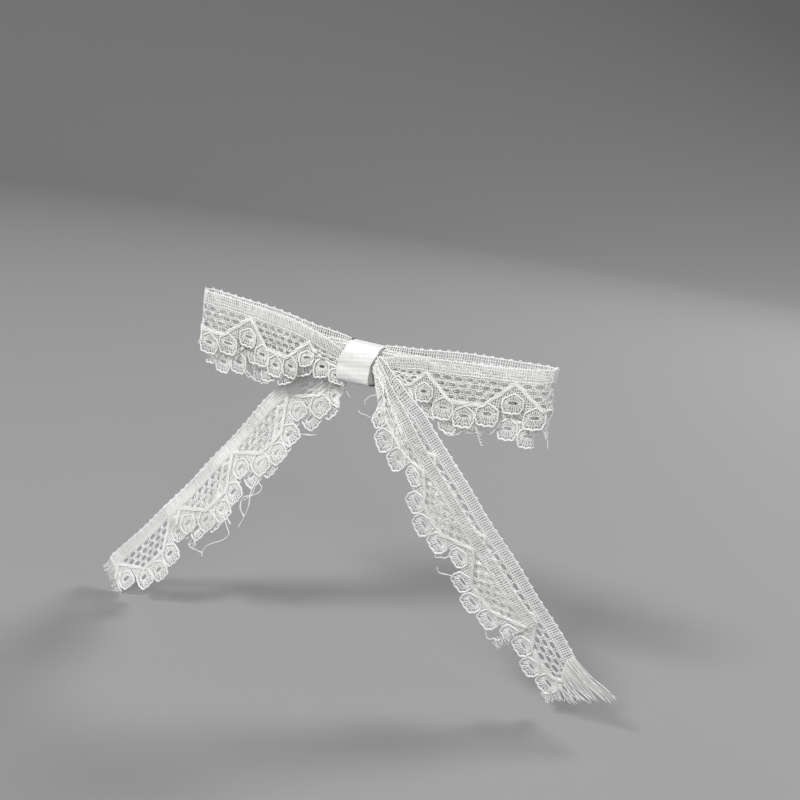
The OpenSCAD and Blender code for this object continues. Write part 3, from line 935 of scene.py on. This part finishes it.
def wrap_section(lo, hi):
    """The ribbon's section as points (y, z) about 0.1 apart, counterclockwise, and their
    outward directions: round above, boxier below, square at the back."""
    half = (hi[2] - lo[2]) / 2
    front = WRAP_MID - lo[1]
    turn = np.linspace(-math.pi / 2, math.pi / 2, 401)
    power = np.where(turn > 0, 2 / ROUND_ABOVE, 2 / BOXY_BELOW)
    rough = np.column_stack([WRAP_MID - front * np.abs(np.cos(turn)) ** power,
                             half * np.sign(turn) * np.abs(np.sin(turn)) ** power])
    bend = [(WRAP_MID + (WRAP_BACK - WRAP_MID) * a, half * b)
            for a, b in ((0.5, 1), (0.9, 1), (0.98, 0.98), (1, 0.93), (1, 0))]
    rough = np.concatenate([rough, bend, np.array(bend[-2::-1]) * [1, -1], rough[:1]])
    run = lengths(rough)
    apart = np.append(True, np.diff(run) > 1e-6)
    run, rough = run[apart], rough[apart]
    at = np.arange(0, run[-1], 0.1)
    section = np.column_stack([np.interp(at, run, rough[:, i]) for i in (0, 1)])
    ahead = np.roll(section, -1, 0) - np.roll(section, 1, 0)
    return section, unit(np.column_stack([-ahead[:, 1], ahead[:, 0]]))


def make_wrap():
    """The ribbon round the middle, wound a little aslant in front, with its end at the back."""
    lo, hi = corner("satin_wrap", 0), corner("satin_wrap", 1)
    half_x = (hi[0] - lo[0]) / 2
    section, out = wrap_section(lo, hi)
    y, z = section.T
    in_front = ease(-y, 6.2, 7.8)
    aslant = -ASLANT * ease(-y, 5.2, 7.5) * (1 - ease(z, 0, 3.3))
    # pressed in below the middle, and full above it
    crease = 0.12 * np.exp(-((z + 0.7) / 0.7) ** 2) - 0.05 * np.exp(-((z - 0.6) / 0.5) ** 2)
    xs = np.concatenate([[-1, -0.99], np.linspace(-0.96, 0.96, 33), [0.99, 1]])
    n, m = len(section), len(xs)
    rows = []
    for ply in (0, 1):
        for x in xs:
            ripple = 0.025 * np.sin(z * 3.2 + x * 2.1) * (1 - x * x) + (
                0.012 * np.sin(z * 7 - x * 5))
            lip = 0.05 * ease(abs(x), 0.93, 0.97) - 0.1 * ease(abs(x), 0.97, 1)
            push = -in_front * (crease + ripple) + lip - ply * WRAP_T
            rows.append(np.column_stack([x * half_x + aslant + 0.05 * np.sin(z * 1.3 + 1),
                                         y + out[:, 0] * push, z + out[:, 1] * push]))
    corners = []
    j = np.arange(n)
    k = (j + 1) % n
    for i in range(m - 1):
        a, b = i * n, (i + 1) * n
        corners.append(np.column_stack([a + j, b + j, b + k, a + k]))
        a, b = a + m * n, b + m * n
        corners.append(np.column_stack([a + j, a + k, b + k, b + j]))
    inner = m * n
    corners.append(np.column_stack([j, k, inner + k, inner + j]))
    last = (m - 1) * n
    corners.append(np.column_stack([last + j, inner + last + j, inner + last + k, last + k]))
    corners = np.concatenate(corners)
    obj = new_mesh("satin_band", np.concatenate(rows), np.full(len(corners), 4),
                   corners.ravel(), SATIN)
    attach(obj, "bow")
    make_wrap_end(half_x, hi[1])
    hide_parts("satin_wrap")


def make_wrap_end(half_x, back):
    """The ribbon's cut end, glued down over itself at the back."""
    xs = np.linspace(-1, 1, 29)
    zs = np.linspace(-3.1, 1.6, 33)
    grid_x, grid_z = [g.ravel() for g in np.meshgrid(xs, zs, indexing="ij")]
    cut = 0.12 * np.sin(grid_x * 9) * ease(grid_z, 1, 1.6)
    soft = 0.1 * ease(np.abs(grid_x), 0.93, 1) + 0.1 * ease(grid_z, 1.35, 1.6)
    wave = 0.03 * np.sin(grid_z * 2.3 + grid_x * 2)
    place_x = grid_x * (half_x - 0.08)
    top = np.column_stack([place_x, back - 0.06 - soft + wave * 0.5, grid_z + cut])
    low = np.column_stack([place_x, back - 0.42 + 0 * grid_x, grid_z + cut])
    obj = slab("satin_end", low, top, len(xs), len(zs), SATIN)
    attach(obj, "bow")


make_wrap()

BINDING_R = 0.12
BINDING_DEPTH = 0.52       # below the ribbon's face
BINDING_PITCH = 0.45


def make_binding():
    """The thread wound round the gathered middle, close under the ribbon."""
    section, out = wrap_section(corner("satin_wrap", 0), corner("satin_wrap", 1))
    ring = (section - BINDING_DEPTH * out)[::4]
    ring = ring[ring[:, 0] < corner("binding_thread", 1)[1] - BINDING_R - 0.01]
    turns = Threads()
    for x in BINDING_PITCH * np.arange(-2, 3):
        turns.add(np.column_stack([np.full(len(ring), x), ring]), BINDING_R, closed=True)
    obj = turns.build("binding", lambda p: p, 6, COTTON)
    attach(obj, "bow")
    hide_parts("binding_thread")


make_binding()

# ---- the barrette ----

for look, nodes in ((NICKEL, ("base_plate", "hinge_pin", "clasp_arm", "catch_rivet")),
                    (SPRING_STEEL, ("catch_foot", "catch_prong_upper", "catch_prong_lower"))):
    for node in nodes:
        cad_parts[node].data.materials.clear()
        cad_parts[node].data.materials.append(look)

SPRING_T = 0.25
SPRING_RISE = 0.3          # how far it bows
SPRING_ROUND = 0.8         # the radius of its corners


def make_spring():
    """The bowed spring strip under its two staples."""
    lo, hi = corner("tension_spring", 0), corner("tension_spring", 1)
    length, width = hi[0] - lo[0], hi[2] - lo[2]
    xs = np.linspace(-length / 2, length / 2, 41)
    verts = []
    for x in xs:
        end = max(0.0, abs(x) - (length / 2 - SPRING_ROUND))
        half = width / 2 - (SPRING_ROUND - math.sqrt(max(0.0, SPRING_ROUND ** 2 - end * end)))
        y = hi[1] - SPRING_RISE * (x / (length / 2)) ** 2
        low_y = y - SPRING_T
        verts += [(x, y, -half), (x, y, half), (x, low_y, half), (x, low_y, -half)]
    corners, sizes = [], []
    for i in range(len(xs) - 1):
        for j in range(4):
            k = (j + 1) % 4
            corners += [i * 4 + j, i * 4 + k, (i + 1) * 4 + k, (i + 1) * 4 + j]
            sizes.append(4)
    last = (len(xs) - 1) * 4
    corners += [3, 2, 1, 0, last, last + 1, last + 2, last + 3]
    sizes += [4, 4]
    obj = new_mesh("spring_strip", np.array(verts), sizes, corners, SPRING_STEEL)
    for poly in obj.data.polygons:
        poly.use_smooth = False
    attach(obj, "bow")
    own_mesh(obj)
    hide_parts("tension_spring")


make_spring()

# ---- stage and light: lengths in metres, powers in watts ----

FLAT_R = 1.0               # the floor's flat part, its curve and its wall
CURVE_R = 0.5
WALL_H = 2.0
FLOOR_GAP = 0.0015         # below the lowest point of the CAD model
FLOOR_COLOR = (0.23, 0.23, 0.232)      # grey, so that the white lace stands out
AIM = (0, 0, -0.02)
# Name, place, diameter and power
LIGHTS = (("key", (-0.38, -0.85, 0.8), 0.3, 14),
          ("fill", (0.5, -0.9, 0.5), 0.4, 3.5),
          ("back", (0.4, 0.85, 0.7), 0.4, 12))
SKY = 0.45


def make_stage():
    """A plain round floor that curves up into a backdrop on all sides."""
    floor_z = cad_box[0][2] - FLOOR_GAP
    profile = [(0.02, 0), (FLAT_R, 0)]
    profile += [(FLAT_R + CURVE_R * math.sin(a), CURVE_R - CURVE_R * math.cos(a))
                for a in np.linspace(0.1, math.pi / 2, 12)]
    profile += [(FLAT_R + CURVE_R, WALL_H)]
    turns = np.arange(72) * 2 * math.pi / 72
    verts = [(r * math.cos(a), r * math.sin(a), floor_z + z) for r, z in profile for a in turns]
    n = len(turns)
    faces = [(i * n + j, (i + 1) * n + j, (i + 1) * n + (j + 1) % n, i * n + (j + 1) % n)
             for i in range(len(profile) - 1) for j in range(n)]
    faces.append(tuple(range(n)))
    me = bpy.data.meshes.new("floor")
    me.from_pydata(verts, [], faces)
    for poly in me.polygons:
        poly.use_smooth = True
    obj = bpy.data.objects.new("floor", me)
    bpy.context.scene.collection.objects.link(obj)
    me.materials.append(node_material("floor", FLOOR_COLOR, 0.9)[0])


def area_light(name, at, size, power):
    """A round soft light that shines at the bow."""
    data = bpy.data.lights.new(name, "AREA")
    data.shape = "DISK"
    data.size = size
    data.energy = power
    lamp = bpy.data.objects.new(name, data)
    bpy.context.scene.collection.objects.link(lamp)
    lamp.location = at
    lamp.rotation_euler = (Vector(AIM) - Vector(at)).to_track_quat("-Z", "Y").to_euler()


make_stage()
for light in LIGHTS:
    area_light(*light)
world = bpy.data.worlds.new("world")
bpy.context.scene.world = world
world.use_nodes = True
world.node_tree.nodes["Background"].inputs["Color"].default_value = (1, 1, 1, 1)
world.node_tree.nodes["Background"].inputs["Strength"].default_value = SKY
bpy.context.scene.view_settings.view_transform = "Standard"
